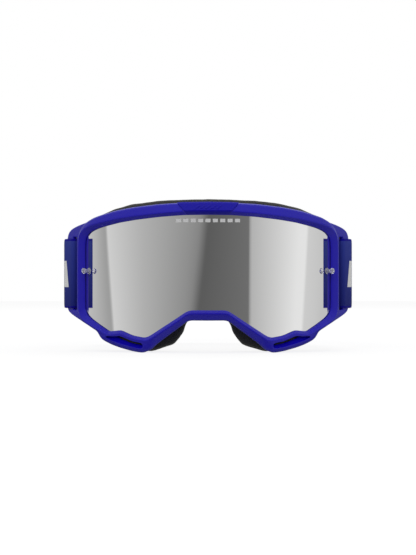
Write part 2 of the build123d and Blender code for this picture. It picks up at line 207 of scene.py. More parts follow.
# One row for each section of the right half, from the middle of the brow to the middle of the nose:
# lens opening x and z, outer edge x and z, width of the bevel, width of the face flange, how far the
# foam stands out past the frame, and how far the lower vent is open (0 to 1). Millimetres.
rows = [
    (0.0, 86.2, 0.0, 94.4, 2.5, 12.0, 2.2, 0),
    (15.0, 86.0, 15.5, 94.2, 2.5, 12.0, 2.3, 0),
    (30.0, 85.0, 31.5, 93.3, 2.5, 12.0, 2.5, 0),
    (45.5, 83.3, 47.8, 91.5, 2.6, 12.0, 2.4, 0),
    (56.0, 81.7, 58.6, 89.6, 2.8, 12.0, 1.7, 0),
    (63.5, 80.0, 66.5, 87.5, 3.0, 12.0, 0.6, 0),
    (69.5, 78.4, 73.0, 85.4, 3.3, 12.0, 0.0, 0),
    (73.4, 76.8, 78.0, 82.6, 3.8, 12.0, -0.4, 0),
    (75.8, 75.2, 81.2, 79.4, 4.4, 12.0, -0.6, 0),
    (77.3, 73.2, 83.0, 76.0, 4.7, 12.0, -0.8, 0),
    (78.1, 70.6, 83.7, 72.0, 4.9, 12.0, -0.8, 0),
    (78.4, 66.0, 83.8, 66.6, 4.9, 12.0, -0.8, 0),
    (78.4, 31.0, 83.8, 30.4, 4.9, 12.0, -0.8, 0),
    (78.2, 26.6, 83.6, 25.0, 4.9, 12.0, -0.8, 0),
    (77.0, 23.6, 82.0, 20.8, 4.7, 12.0, -0.8, 0),
    (74.6, 21.2, 78.6, 17.8, 4.2, 12.0, -0.8, 0),
    (69.8, 17.9, 73.6, 14.6, 3.6, 12.0, -0.8, 0),
    (66.6, 15.8, 71.3, 13.3, 3.2, 12.0, -0.8, 0),
    (65.6, 15.2, 70.1, 12.0, 3.0, 12.0, -0.8, 0),
    (64.2, 14.2, 68.7, 9.1, 2.8, 12.0, -0.8, 0),
    (62.5, 13.3, 66.5, 7.2, 2.6, 12.0, -0.8, 1.0),
    (59.0, 13.6, 61.4, 4.7, 2.4, 12.0, -0.8, 1.0),
    (55.2, 14.1, 55.8, 2.7, 2.2, 12.0, -0.8, 1.0),
    (47.3, 10.8, 47.6, 0.6, 2.2, 12.0, -0.8, 1.0),
    (40.4, 9.6, 41.0, -0.4, 2.2, 11.0, -0.6, 1.0),
    (37.6, 10.2, 35.8, 1.6, 2.2, 10.0, 1.2, 0),
    (34.6, 12.0, 31.2, 6.0, 2.0, 9.0, 4.1, 0),
    (29.5, 15.4, 25.8, 10.0, 2.0, 9.0, 6.4, 0),
    (25.5, 18.0, 21.9, 12.9, 2.0, 9.0, 5.3, 0),
    (21.5, 20.6, 18.0, 15.8, 2.0, 9.0, 3.5, 0),
    (14.8, 25.1, 14.0, 18.9, 2.0, 9.0, 0.3, 0),
    (11.9, 26.8, 11.6, 20.2, 2.0, 9.0, -0.9, 0),
    (0.0, 26.8, 0.0, 20.1, 2.0, 9.0, -0.9, 0),
]


class Section:
    """One section plane of the ring, from the lens opening outwards; lengths in millimetres."""

    def __init__(self, row):
        self.x, self.z, outer_x, outer_z, self.bevel, self.flange, self.foam, self.vent = row
        self.width = hypot(outer_x - self.x, outer_z - self.z)
        self.out_x = (outer_x - self.x) / self.width
        self.out_z = (outer_z - self.z) / self.width
        self.outer_x = outer_x
        self.shoulder = self.bevel + shoulder_share * (self.width - self.bevel)

    def at(self, out, depth):
        """The place this far out from the lens opening and this far behind the lens front."""
        x = self.x + out * self.out_x
        z = self.z + out * self.out_z
        return Vector((x * MM, lens_front + depth * MM, z * MM))

    def lens_depth(self, out, proud):
        x = self.x + out * self.out_x
        return lens_radius - sqrt((lens_radius + proud) ** 2 - x * x)

    def face_depth(self, out, behind):
        x = self.x + out * self.out_x
        return face_depth + face_radius - sqrt((face_radius - behind) ** 2 - x * x)

    def lens(self, out, proud):
        return self.at(out, self.lens_depth(out, proud))

    def face(self, out, behind):
        return self.at(out, self.face_depth(out, behind))


def finer(coarse, longest):
    """The same rows with more in between, no further apart than the longest step."""
    fine = [coarse[0]]
    for here, there in zip(coarse, coarse[1:]):
        steps = ceil(hypot(there[2] - here[2], there[3] - here[3]) / longest)
        for step in range(1, steps + 1):
            fine.append(tuple(a + (b - a) * step / steps for a, b in zip(here, there)))
    return fine


def draw_loops(loops):
    """A bmesh made by drawing one closed loop out to the next; also its points, loop by loop."""
    mesh = bmesh.new()
    front = [mesh.verts.new(place) for place in loops[0]]
    edges = [mesh.edges.new(pair) for pair in zip(front, front[1:] + front[:1])]
    grid = [front]
    for loop in loops[1:]:
        drawn = bmesh.ops.extrude_edge_only(mesh, edges=edges)["geom"]
        made = [item for item in drawn if isinstance(item, bmesh.types.BMVert)]
        # the new point of each old one is its only new neighbour
        fresh = set(made)
        front = [next(e.other_vert(v) for e in v.link_edges if e.other_vert(v) in fresh) for v in front]
        for vertex, place in zip(front, loop):
            vertex.co = place
        edges = [mesh.edges.get(pair) for pair in zip(front, front[1:] + front[:1])]
        grid.append(front)
    return mesh, grid


def both_sides(mesh):
    """Mirrors the right half to the left, joins them in the middle and turns all faces outwards."""
    whole = mesh.verts[:] + mesh.edges[:] + mesh.faces[:]
    bmesh.ops.mirror(mesh, geom=whole, axis="X", merge_dist=0.00001)
    bmesh.ops.recalc_face_normals(mesh, faces=mesh.faces)


def finish_piece(mesh, name, material, body, smooth=True):
    """Turns a bmesh into a named object that rides on a body."""
    data = bpy.data.meshes.new(name)
    mesh.to_mesh(data)
    mesh.free()
    piece = bpy.data.objects.new(name, data)
    scene.collection.objects.link(piece)
    for face in data.polygons:
        face.use_smooth = smooth
    data.materials.append(material)
    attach(piece, body)
    return piece


def subdivide(piece, levels):
    """Subdivision surface, the same in every view."""
    smoother = piece.modifiers.new("smooth", "SUBSURF")
    smoother.levels = levels
    smoother.render_levels = levels


def frame_loop(section):
    """Closed outline of the frame at one section, from the lens edge round the outside and back."""
    bevel = section.bevel
    width = section.width
    round_off = min(0.7, 0.5 * (width - bevel))
    crest_depth = section.lens_depth(bevel, rim_proud)
    slope_start = (bevel + round_off, crest_depth + 0.35)
    slope_end = (section.shoulder, crest_depth + slope_fall)

    def slope(out, proud=0.0):
        part = (out - slope_start[0]) / max(slope_end[0] - slope_start[0], 0.001)
        return section.at(out, slope_start[1] + part * (slope_end[1] - slope_start[1]) - proud)

    third = (slope_end[0] - slope_start[0]) / 3
    upper = slope_start[0] + third + section.vent * (vent_bar - slope_start[0] - third)
    lower = slope_start[0] + 2 * third + section.vent * (width - vent_lip - slope_start[0] - 2 * third)
    wall_front = crest_depth + 8.5
    wall_back = section.face_depth(width, -flange_thickness - 1.0)
    slot_front = wall_front + 0.30 * (wall_back - wall_front)
    slot_back = wall_front + 0.73 * (wall_back - wall_front)
    behind = -lens_thickness - lens_gap
    inner = max(3.2, width - wall - 1.2)
    edge = 0.5
    return [
        section.lens(0.0, lens_gap),
        section.lens(0.05, lens_gap + 0.45),
        section.lens(bevel * 0.5, (rim_proud + 0.6) * 0.52),
        section.lens(bevel - 0.55, rim_proud - 0.35),
        section.at(bevel, crest_depth),
        section.at(*slope_start),
        slope(upper),
        slope(lower, 0.6 * section.vent),
        section.at(*slope_end),
        section.at(0.95 * width, crest_depth + 5.0),
        section.at(width, wall_front),
        section.at(width, slot_front),
        section.at(width, slot_back),
        section.at(width, wall_back),
        section.face(width, -edge),
        section.face(width - edge, 0.0),
        section.face(width - section.flange + edge, 0.0),
        section.face(width - section.flange, -edge),
        section.face(width - section.flange, -flange_thickness + edge),
        section.face(width - section.flange + edge, -flange_thickness),
        section.face(width - wall - 0.6, -flange_thickness),
        section.face(width - wall, -flange_thickness - 0.8),
        section.at(width - wall - 0.3, slot_back),
        section.at(width - wall - 0.8, slot_front),
        section.lens(inner, behind - rear_lip - 0.4),
        section.lens(inner - 0.5, behind - rear_lip),
        section.lens(0.75, behind - rear_lip),
        section.lens(0.3, behind - rear_lip + 0.45),
        section.lens(0.3, behind),
        section.lens(2.8, behind),
        section.lens(2.8, lens_gap),
    ]


ring = [Section(row) for row in finer(rows, 4.0)]
frame_mesh, frame_grid = draw_loops([frame_loop(section) for section in ring])
# vents: the faces between two lines of the ring go, and a duct runs in from the edge of each hole;
# the lower ducts are coloured with painted shade
crease = frame_mesh.edges.layers.float.new("crease_edge")
lower_vent = (6, 7)
top_vent = (11, 12)
top_vent_inside = (23, 22)
top_slots = ((3.5, 20.5), (25.5, 42.5), (48.0, 60.0))
# past this x the floor of a lower vent closes on its roof
closed_from = 57.5
# stretches of the duct of a lower vent: how deep, how far the floor rises to the roof, material slot
# (slot 1 is the blue with painted shade)
lower_duct = ((0.4, 0.09, 0), (1.0, -0.04, 1), (2.0, 0.66, 1), (4.0, 0.0, 1))
top_duct = (0.4, 2.6)


def cut_panel(here, there, lines):
    """Removes the face between two lines of the ring, from one section to the next."""
    corners = (here[lines[0]], here[lines[1]], there[lines[1]], there[lines[0]])
    panel = next(f for f in corners[0].link_faces if all(v in f.verts for v in corners))
    frame_mesh.faces.remove(panel)


def duct(edges, inwards, rise=0.0, roof=None, skin=1):
    """Draws the edge of a hole inwards; its floor rises by a share of the way to the roof above it."""
    roof = roof or {}
    drawn = bmesh.ops.extrude_edge_only(frame_mesh, edges=edges)["geom"]
    # faces drawn with skin 1 take the darker blue of painted shade
    for item in drawn:
        if isinstance(item, bmesh.types.BMFace):
            item.material_index = skin
    fresh = {item for item in drawn if isinstance(item, bmesh.types.BMVert)}
    source = {v: next(e.other_vert(v) for e in v.link_edges if e.other_vert(v) not in fresh) for v in fresh}
    for vertex, old in source.items():
        vertex.co = old.co + inwards
        if old in roof:
            closing = rise > 0.5 and old.co.x > closed_from * MM
            vertex.co += (roof[old].co - old.co) * (1.0 if closing else rise)
    made = {old: vertex for vertex, old in source.items()}
    roof.update({made[low]: made[high] for low, high in list(roof.items()) if low in made and high in made})
    return [edge for edge in frame_mesh.edges if edge.is_boundary and set(edge.verts) <= fresh]


top_panels = []
for here, there, section, following in zip(frame_grid, frame_grid[1:], ring, ring[1:]):
    if section.vent > 0.99 and following.vent > 0.99:
        cut_panel(here, there, lower_vent)
    middle = (section.outer_x + following.outer_x) / 2
    if section.z > 70 and any(low < middle < high for low, high in top_slots):
        cut_panel(here, there, top_vent)
        top_panels.append((here, there))
holes = [e for e in frame_mesh.edges if e.is_boundary and max(v.co.x for v in e.verts) > 0.003]
for here, there in top_panels:
    cut_panel(here, there, top_vent_inside)
for edge in holes:
    edge[crease] = 0.85
roof = {points[lower_vent[1]]: points[lower_vent[0]] for points in frame_grid}
inner_edge = [edge for edge in holes if edge.verts[0].co.z < 0.05]
top_holes = [edge for edge in holes if edge.verts[0].co.z > 0.05]
for deep, rise, skin in lower_duct:
    inner_edge = duct(inner_edge, Vector((0, deep * MM, 0)), rise, roof, skin)
for deep in top_duct:
    top_holes = duct(top_holes, Vector((0, 0, -deep * MM)))
both_sides(frame_mesh)


def shader_group(name, inputs, outputs):
    """An empty shader node group with named inputs (name: kind, value) and outputs (name: kind)."""
    group = bpy.data.node_groups.new(name, "ShaderNodeTree")
    for label, (kind, value) in inputs.items():
        socket = group.interface.new_socket(label, in_out="INPUT", socket_type=kind)
        socket.default_value = value
    for label, kind in outputs.items():
        group.interface.new_socket(label, in_out="OUTPUT", socket_type=kind)
    return group, add(group, "NodeGroupInput"), add(group, "NodeGroupOutput")


def noise(tree, vector, scale, detail=2.0, roughness=0.5):
    """Noise of so many features to the metre."""
    node = add(tree, "ShaderNodeTexNoise")
    node.inputs["Scale"].default_value = scale
    node.inputs["Detail"].default_value = detail
    node.inputs["Roughness"].default_value = roughness
    tree.links.new(vector, node.inputs["Vector"])
    return node.outputs["Fac"]


# grain of a moulded skin, with faint scuffs: its height, and a mask of the scuffs
grain_group, grain_in, grain_out = shader_group(
    "moulded_grain",
    {"Vector": ("NodeSocketVector", (0, 0, 0)), "Grain": ("NodeSocketFloat", 3500.0),
     "Scuffs": ("NodeSocketFloat", 0.5)},
    {"Height": "NodeSocketFloat", "Scuff": "NodeSocketFloat"},
)
fine_grain = add(grain_group, "ShaderNodeTexNoise")
fine_grain.inputs["Detail"].default_value = 3.0
grain_group.links.new(grain_in.outputs["Vector"], fine_grain.inputs["Vector"])
grain_group.links.new(grain_in.outputs["Grain"], fine_grain.inputs["Scale"])
patches = noise(grain_group, grain_in.outputs["Vector"], 60.0, 5.0, 0.7)
scuffed = math(grain_group, "MULTIPLY", math(grain_group, "SUBTRACT", patches, 0.52), 5.0, clamp=True)
scuff_mask = math(grain_group, "MULTIPLY", scuffed, grain_in.outputs["Scuffs"])
grain_group.links.new(fine_grain.outputs["Fac"], grain_out.inputs["Height"])
grain_group.links.new(scuff_mask, grain_out.inputs["Scuff"])


def new_material(name, colour, roughness):
    """A material with its shader set, its node tree, and the object coordinates it reads."""
    material = bpy.data.materials.new(name)
    material.use_nodes = True
    tree = material.node_tree
    shader = tree.nodes["Principled BSDF"]
    shader.inputs["Base Color"].default_value = (*colour, 1)
    shader.inputs["Roughness"].default_value = roughness
    place = add(tree, "ShaderNodeTexCoord").outputs["Object"]
    return material, tree, shader, place


def group_node(tree, group, vector=None, **values):
    """A shader group placed in a material with its own values."""
    node = add(tree, "ShaderNodeGroup", node_tree=group)
    if vector is not None:
        tree.links.new(vector, node.inputs["Vector"])
    for label, value in values.items():
        node.inputs[label].default_value = value
    return node


def bump(tree, shader, height, depth, strength=1.0):
    """Bump of a height field, its full depth given in metres."""
    node = add(tree, "ShaderNodeBump")
    node.inputs["Distance"].default_value = depth
    node.inputs["Strength"].default_value = strength
    tree.links.new(height, node.inputs["Height"])
    tree.links.new(node.outputs[0], shader.inputs["Normal"])
    return node


def mix(tree, factor, first, second):
    """A colour between two, by a mask; each is a colour or a socket."""
    node = add(tree, "ShaderNodeMix", data_type="RGBA")
    tree.links.new(factor, node.inputs["Factor"])
    for label, value in (("A", first), ("B", second)):
        if isinstance(value, tuple):
            node.inputs[label].default_value = (*value, 1)
        else:
            tree.links.new(value, node.inputs[label])
    return node.outputs["Result"]


def spread(tree, value, low, high, to_low=0.0, to_high=1.0):
    """A value from one range brought to another, held at its ends."""
    node = add(tree, "ShaderNodeMapRange")
    node.inputs["From Min"].default_value = low
    node.inputs["From Max"].default_value = high
    node.inputs["To Min"].default_value = to_low
    node.inputs["To Max"].default_value = to_high
    tree.links.new(value, node.inputs["Value"])
    return node.outputs[0]


def moulded(name, colour, specular, grain, scuffs, bumps, rough, scuffed=None):
    """A moulded plastic with a fine grain, and its shader.

    bumps: depth and strength of the grain. rough: value of the scuff mask at which a scuff is
    full, roughness of the clean skin, roughness of a full scuff. scuffed: colour of a full scuff.
    """
    material, tree, shader, place = new_material(name, colour, rough[1])
    shader.inputs["Specular IOR Level"].default_value = specular
    skin = group_node(tree, grain_group, place, Grain=grain, Scuffs=scuffs)
    if scuffed:
        tree.links.new(mix(tree, skin.outputs["Scuff"], colour, scuffed), shader.inputs["Base Color"])
    tree.links.new(spread(tree, skin.outputs["Scuff"], 0.0, *rough), shader.inputs["Roughness"])
    bump(tree, shader, skin.outputs["Height"], *bumps)
    return material, shader


blue_skin, shader = moulded(
    "blue_polyurethane", (0.012, 0.007, 0.40), 0.24, 2600.0, 0.35, (0.00004, 0.7), (0.4, 0.40, 0.52),
    scuffed=(0.019, 0.013, 0.43),
)
shader.inputs["Coat Weight"].default_value = 0.06
shader.inputs["Coat Roughness"].default_value = 0.30
# the same blue, darker and with little shine: painted shade for the faces inside the lower vents
vent_painted_shade = moulded(
    "blue_vent_painted_shade", (0.004, 0.001, 0.40), 0.05, 2600.0, 0.35, (0.00004, 0.7), (0.4, 0.6, 0.6),
    scuffed=(0.007, 0.003, 0.42),
)[0]

moulding = finish_piece(frame_mesh, "frame_moulding", blue_skin, "goggles")
# second slot: painted shade inside the lower vents
moulding.data.materials.append(vent_painted_shade)
subdivide(moulding, 2)

# the ears: a leaning plate round the strap slot, its inner edge sunk in the side of the rim
side_reach = 83.8
strap_low, strap_high = (corner.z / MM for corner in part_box("strap"))
slot_low, slot_high = strap_low - 0.9, strap_high + 0.9
ear_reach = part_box("frame")[1].x / MM
ear_thickness = 2.4
foot = Vector((side_reach - 0.2, 50.3))
bar_end = Vector((ear_reach - ear_thickness / 2, 60.6))
strap_thickness = 1.4
bar_start = Vector((side_reach + 0.2 + strap_thickness + 0.1 + ear_thickness / 2, 0))
lean_out = (bar_end.x - foot.x) / (bar_end.y - foot.y)
bar_start.y = bar_end.y - (bar_end.x - bar_start.x) / lean_out
bar_along = (bar_end - foot).normalized()
bar_front = Vector((bar_along.y, -bar_along.x))

ear_outer = [
    (74.0, slot_high + 10.2), (80.8, slot_high + 8.3), (ear_reach - 4.6, slot_high + 6.2),
    (ear_reach - 1.4, slot_high + 3.9), (ear_reach, slot_high - 1.0), (ear_reach, slot_high - 16),
    (ear_reach, slot_low + 16), (ear_reach, slot_low + 1.5), (ear_reach - 1.4, slot_low - 1.8),
    (side_reach + 2.1, slot_low - 4.2), (81.0, slot_low - 7.0), (76.4, slot_low - 9.7),
    (76.0, slot_low), (76.0, slot_low + 16), (76.0, slot_high - 16), (76.0, slot_high),
]
slot_left = side_reach + 0.1
slot_right = bar_start.x - 0.4
ear_inner = [
    (slot_left, slot_high), (slot_left + 0.8, slot_high), (slot_right - 0.8, slot_high),
    (slot_right, slot_high), (slot_right, slot_high - 1.2), (slot_right, slot_high - 16),
    (slot_right, slot_low + 16), (slot_right, slot_low + 1.2), (slot_right, slot_low),
    (slot_right - 0.8, slot_low), (slot_left + 0.8, slot_low), (slot_left, slot_low),
    (slot_left, slot_low + 1.2), (slot_left, slot_low + 16), (slot_left, slot_high - 16),
    (slot_left, slot_high - 1.2),
]


def on_plate(x, z, out):
    """A place on the leaning plate of the ear, out from its middle plane."""
    plan = foot + bar_along * ((x - foot.x) / bar_along.x) + bar_front * out
    return Vector((plan.x * MM, lens_front + plan.y * MM, z * MM))


def thicken(mesh, offset):
    """Gives an open sheet its thickness: a copy of it moved by an offset, and the walls between."""
    grown = bmesh.ops.extrude_face_region(mesh, geom=mesh.faces[:] + mesh.edges[:] + mesh.verts[:])
    points = [item for item in grown["geom"] if isinstance(item, bmesh.types.BMVert)]
    bmesh.ops.translate(mesh, verts=points, vec=offset)
    bmesh.ops.recalc_face_normals(mesh, faces=mesh.faces)


def round_edges(mesh, edges, width, segments):
    """Rounds edges to a width in millimetres."""
    bmesh.ops.bevel(mesh, geom=edges, offset=width * MM, offset_type="OFFSET", affect="EDGES",
                    segments=segments, profile=0.5, material=-1)


def sharp_edges(mesh):
    """The edges between faces that meet at more than 50 degrees."""
    return [edge for edge in mesh.edges if edge.is_manifold and edge.calc_face_angle() > radians(50)]


ear_mesh = bmesh.new()
rims = []
for outline in (ear_outer, ear_inner):
    points = [ear_mesh.verts.new(on_plate(x, z, -ear_thickness / 2)) for x, z in outline]
    rims += [ear_mesh.edges.new(pair) for pair in zip(points, points[1:] + points[:1])]
bmesh.ops.bridge_loops(ear_mesh, edges=rims)
thicken(ear_mesh, Vector((bar_front.x, bar_front.y, 0)) * ear_thickness * MM)
round_edges(ear_mesh, sharp_edges(ear_mesh), 0.7, 3)
whole = ear_mesh.verts[:] + ear_mesh.edges[:] + ear_mesh.faces[:]
bmesh.ops.mirror(ear_mesh, geom=whole, axis="X", merge_dist=0.0)
bmesh.ops.recalc_face_normals(ear_mesh, faces=ear_mesh.faces)
ears = finish_piece(ear_mesh, "frame_ears", blue_skin, "goggles")
subdivide(ears, 2)
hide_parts("frame")

# ---------------------------------------------------------------------------------------------
# Lens. Polycarbonate bent to a cylinder, with a silver mirror film on the front, and a row of
# printed dashes under the brow. At each end a painted reflection: a dark blue band for the strap
# and a violet one for the rim's inner wall. It snaps into the rim's groove.
# ---------------------------------------------------------------------------------------------
mirror_film, tree, shader, place = new_material("silver_mirror_film", (0.93, 0.93, 0.925), 0.035)
shader.inputs["Metallic"].default_value = 1.0
shader.inputs["Specular IOR Level"].default_value = 0.12
axes = add(tree, "ShaderNodeSeparateXYZ")
tree.links.new(place, axes.inputs[0])
across = math(tree, "ABSOLUTE", axes.outputs["X"])


def within(tree, value, low, high, soft=0.0001):
    """A mask that is 1 between two values."""
    rising = spread(tree, value, low - soft, low + soft)
    falling = spread(tree, value, high - soft, high + soft, 1.0, 0.0)
    return math(tree, "MULTIPLY", rising, falling)


def both(tree, first, second):
    """A mask that is 1 where both masks are."""
    return math(tree, "MULTIPLY", first, second)


# at each end of the lens a painted reflection of the strap, a dark blue band as tall as it, and
# between it and the rim a violet band, a painted reflection of the rim's inner wall
height = axes.outputs["Z"]
strap_reflection_band = both(tree, within(tree, across, 0.0736, 0.0763), within(tree, height, 0.0277, 0.0720, 0.0002))
strap_reflection_core = both(tree, within(tree, across, 0.0742, 0.0762), within(tree, height, 0.0289, 0.0706, 0.0003))
rim_reflection_band = both(tree, within(tree, across, 0.0762, 0.0800), within(tree, height, 0.0255, 0.0735, 0.0012))
# nine dashes under the brow, 2.1 mm high
dash_pitch = 0.0046
dash_half_row = 0.0214
dash_step = math(tree, "FRACT", math(tree, "ADD", math(tree, "DIVIDE", axes.outputs["X"], dash_pitch), 0.5))
dash_on = math(tree, "LESS_THAN", math(tree, "ABSOLUTE", math(tree, "SUBTRACT", dash_step, 0.5)), 0.34)
dash_level = within(tree, height, 0.0817, 0.0838)
dashes = both(tree, both(tree, dash_on, dash_level), math(tree, "LESS_THAN", across, dash_half_row))
film = (0.93, 0.93, 0.925)
# the painted reflections: the strap's band, its core darker towards the bottom, then the rim's wall
film_with_reflections = mix(tree, strap_reflection_band, film, (0.004, 0.001, 0.22))
core_shade = spread(tree, height, 0.030, 0.070)
film_with_reflections = mix(tree, strap_reflection_core, film_with_reflections, mix(tree, core_shade, (0.008, 0.012, 0.15), (0.028, 0.046, 0.25)))
film_with_reflections = mix(tree, rim_reflection_band, film_with_reflections, (0.036, 0.026, 0.27))
printed = mix(tree, dashes, film_with_reflections, (0.66, 0.66, 0.66))
tree.links.new(printed, shader.inputs["Base Color"])
# the painted reflections and the printed dashes are not metal, and rougher
reflections_and_print = math(tree, "MAXIMUM", math(tree, "MAXIMUM", strap_reflection_band, rim_reflection_band), dashes)
tree.links.new(math(tree, "SUBTRACT", 1.0, reflections_and_print), shader.inputs["Metallic"])
smear = noise(tree, place, 25.0, 3.0, 0.6)
film_roughness = math(tree, "MULTIPLY_ADD", smear, 0.03, 0.02)
tree.links.new(math(tree, "MULTIPLY_ADD", reflections_and_print, 0.5, film_roughness), shader.inputs["Roughness"])
lens = nodes["lens"]
lens.data.materials.clear()
lens.data.materials.append(mirror_film)

# ---------------------------------------------------------------------------------------------
# Tear-off posts. A clear stud with a wide head stands out at each end of the lens, to hold the
# thin throw-away films; its shank passes through the lens and snaps into a cap behind it.
# ---------------------------------------------------------------------------------------------
post_x = 75.7
post_height = 51.4
# outlines from the middle outwards: radius, and height above the front of the lens
post_profile = [
    (0.0, -3.2), (1.2, -3.2), (1.5, -2.9), (1.5, 0.0), (2.1, 0.0), (2.1, 0.6), (1.8, 1.0), (1.3, 1.2),
    (1.25, 2.4), (1.35, 3.6), (1.7, 3.9), (1.9, 4.2), (1.9, 4.9), (1.65, 5.3), (1.1, 5.5), (0.0, 5.5),
]
cap_profile = [
    (1.5, -2.66), (1.9, -2.66), (2.6, -2.5), (3.0, -2.1), (3.0, -1.5), (2.8, -1.26), (1.5, -1.26),
    (1.5, -2.66),
]
clear_stud, shader = moulded(
    "clear_stud", (0.84, 0.84, 0.90), 0.5, 1800.0, 0.4, (0.00002, 0.5), (0.4, 0.08, 0.2),
)
shader.inputs["Transmission Weight"].default_value = 0.75
shader.inputs["IOR"].default_value = 1.49


def lathe(profile, name, side, replaced):
    """Turns an outline about the stud's axis, and stands it on the lens."""
    mesh = bmesh.new()
    points = [mesh.verts.new((radius * MM, 0, height * MM)) for radius, height in profile]
    line = [mesh.edges.new(pair) for pair in zip(points, points[1:])]
    bmesh.ops.spin(mesh, geom=points + line, cent=(0, 0, 0), axis=(0, 0, 1), angle=2 * pi, steps=28,
                   use_merge=True)
    bmesh.ops.remove_doubles(mesh, verts=mesh.verts, dist=0.00001)
    bmesh.ops.recalc_face_normals(mesh, faces=mesh.faces)
    toward_axis = sqrt(lens_radius**2 - post_x**2)
    out = Vector((side * post_x, -toward_axis, 0)) / lens_radius
    stand = out.to_track_quat("Z", "Y").to_matrix().to_4x4()
    stand.translation = Vector((side * post_x, lens_radius - toward_axis, post_height)) * MM
    stand.translation.y += lens_front
    mesh.transform(stand)
    piece = finish_piece(mesh, name, clear_stud, "goggles")
    subdivide(piece, 1)
    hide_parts(replaced)


for label, side in (("left", -1), ("right", 1)):
    lathe(post_profile, f"stud_{label}", side, f"tear_off_post_{label}")
    lathe(cap_profile, f"stud_cap_{label}", side, f"post_cap_{label}")

# ---------------------------------------------------------------------------------------------
# Brow plate. A thin moulded plate in the frame's own blue, wider at the top than below, bonded
# on the middle of the rim. Five plain slanted ribs stand on it.
# ---------------------------------------------------------------------------------------------
plate_top = 19.3
plate_bottom = 13.4
plate_thickness = 0.55
plate_reach = 1.065
rib_pitch = 3.4


def rim_front(x, part, lift):
    """A place on the front of the rim at x, part of the way from the lens edge to the shoulder."""
    near, far = next(pair for pair in zip(rows, rows[1:]) if pair[1][2] > abs(x))
    share = (abs(x) - near[2]) / (far[2] - near[2])
    section = Section(tuple(a + (b - a) * share for a, b in zip(near, far)))
    bevel, shoulder = section.bevel, section.shoulder
    out = 0.35 + part * (shoulder - 0.35)
    if out < bevel:
        depth = section.lens_depth(out, lens_gap + rim_proud * min(1, out / bevel * 1.08))
        lifted = section.at(out - lift * 0.5, depth - lift * 0.8)
    else:
        past = max(0.0, out - shoulder)
        depth = section.lens_depth(bevel, rim_proud) + slope_fall * (out - past - bevel) / (shoulder - bevel)
        lifted = section.at(out + lift * 0.4 + past * 0.3, depth + 2.4 * past - lift * 0.8)
    lifted.x = x * MM
    return lifted


plate_mesh = bmesh.new()
bmesh.ops.create_grid(plate_mesh, x_segments=24, y_segments=10, size=1.0)
for vertex in plate_mesh.verts:
    part = (vertex.co.y + 1) / 2
    half = plate_bottom + part * (plate_top - plate_bottom)
    vertex.co = rim_front(vertex.co.x * half, part * plate_reach, 0.12)
thicken(plate_mesh, (0, -plate_thickness * MM, 0.3 * MM))
round_edges(plate_mesh, sharp_edges(plate_mesh), 0.15, 2)
plate_skin = moulded(
    "plate_polyurethane", (0.008, 0.005, 0.33), 0.15, 4200.0, 0.3, (0.00002, 0.6), (0.4, 0.30, 0.42),
)[0]
plate = finish_piece(plate_mesh, "brow_badge_plate", plate_skin, "goggles")
subdivide(plate, 1)

rib_mesh = bmesh.new()
for number in range(5):
    middle = (number - 2) * rib_pitch
    made = bmesh.ops.create_grid(rib_mesh, x_segments=2, y_segments=6, size=1.0)["verts"]
    for vertex in made:
        part = 0.60 + 0.16 * vertex.co.y
        vertex.co = rim_front(middle + 0.85 * vertex.co.x + 9.0 * (part - 0.60), part, 0.62)
thicken(rib_mesh, (0, -0.45 * MM, 0.10 * MM))
ribs = finish_piece(rib_mesh, "brow_badge_ribs", plate_skin, "goggles")
subdivide(ribs, 2)
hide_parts("brow_plate")

# ---------------------------------------------------------------------------------------------
# Face foam. Three layers of black foam bonded one behind the other to the face flange: a firm
# base, a soft open-cell middle, and a thin brushed fleece against the skin, each softly crowned.
# ---------------------------------------------------------------------------------------------
foam_layers = {"foam_base": 6.0, "foam_middle": 7.0, "foam_fleece": 2.0}
glue_line = 0.12


def foam_loop(section, front, thickness, plump):
    """Rounded outline of one foam layer at a section; its inner and outer sides bulge by plump."""
    inner = section.width - section.flange - 1.0
    outer = section.width + section.foam
    back = front + thickness
    edge = min(0.28 * thickness, 1.5)
    middle = (front + back) / 2
    return [
        section.face(inner + edge, front), section.face((inner + outer) / 2, front),
        section.face(outer - edge, front), section.face(outer - 0.25 * edge, front + edge * 0.5),
        section.face(outer + plump, middle), section.face(outer - 0.25 * edge, back - edge * 0.5),
        section.face(outer - edge, back), section.face((inner + outer) / 2, back),
        section.face(inner + edge, back), section.face(inner + 0.25 * edge, back - edge * 0.5),
        section.face(inner - plump, middle), section.face(inner + 0.25 * edge, front + edge * 0.5),
    ]


# open cells: height of the cell walls, and a mask of the pits, where shade is painted
cells_group, cells_in, cells_out = shader_group(
    "foam_cells",
    {"Vector": ("NodeSocketVector", (0, 0, 0)), "Cells": ("NodeSocketFloat", 900.0)},
    {"Height": "NodeSocketFloat", "Pit": "NodeSocketFloat"},
)
cell_texture = add(cells_group, "ShaderNodeTexVoronoi", feature="F1")
cells_group.links.new(cells_in.outputs["Vector"], cell_texture.inputs["Vector"])
cells_group.links.new(cells_in.outputs["Cells"], cell_texture.inputs["Scale"])
rough_wall = noise(cells_group, cells_in.outputs["Vector"], 1500.0, 3.0)
cell_wall = math(cells_group, "MULTIPLY_ADD", rough_wall, 0.35, cell_texture.outputs["Distance"])
cells_group.links.new(cell_wall, cells_out.inputs["Height"])
pit = math(cells_group, "SUBTRACT", 1.0, math(cells_group, "MULTIPLY", cell_wall, 1.3, clamp=True))
cells_group.links.new(pit, cells_out.inputs["Pit"])


def foam_material(name, colour, highlight, cells, depth):
    """Open-cell foam, no shine: painted shade darkens the pits, and the cell walls carry a painted
    highlight.
    """
    material, tree, shader, place = new_material(name, colour, 0.95)
    shader.inputs["Specular IOR Level"].default_value = 0.12
    shader.inputs["Sheen Weight"].default_value = 0.10
    shader.inputs["Sheen Roughness"].default_value = 0.6
    porous = group_node(tree, cells_group, place, Cells=cells)
    # pits painted dark as shade, cell walls painted light as highlight
    tree.links.new(mix(tree, porous.outputs["Pit"], highlight, colour), shader.inputs["Base Color"])
    bump(tree, shader, porous.outputs["Height"], depth, 0.9)
    return material


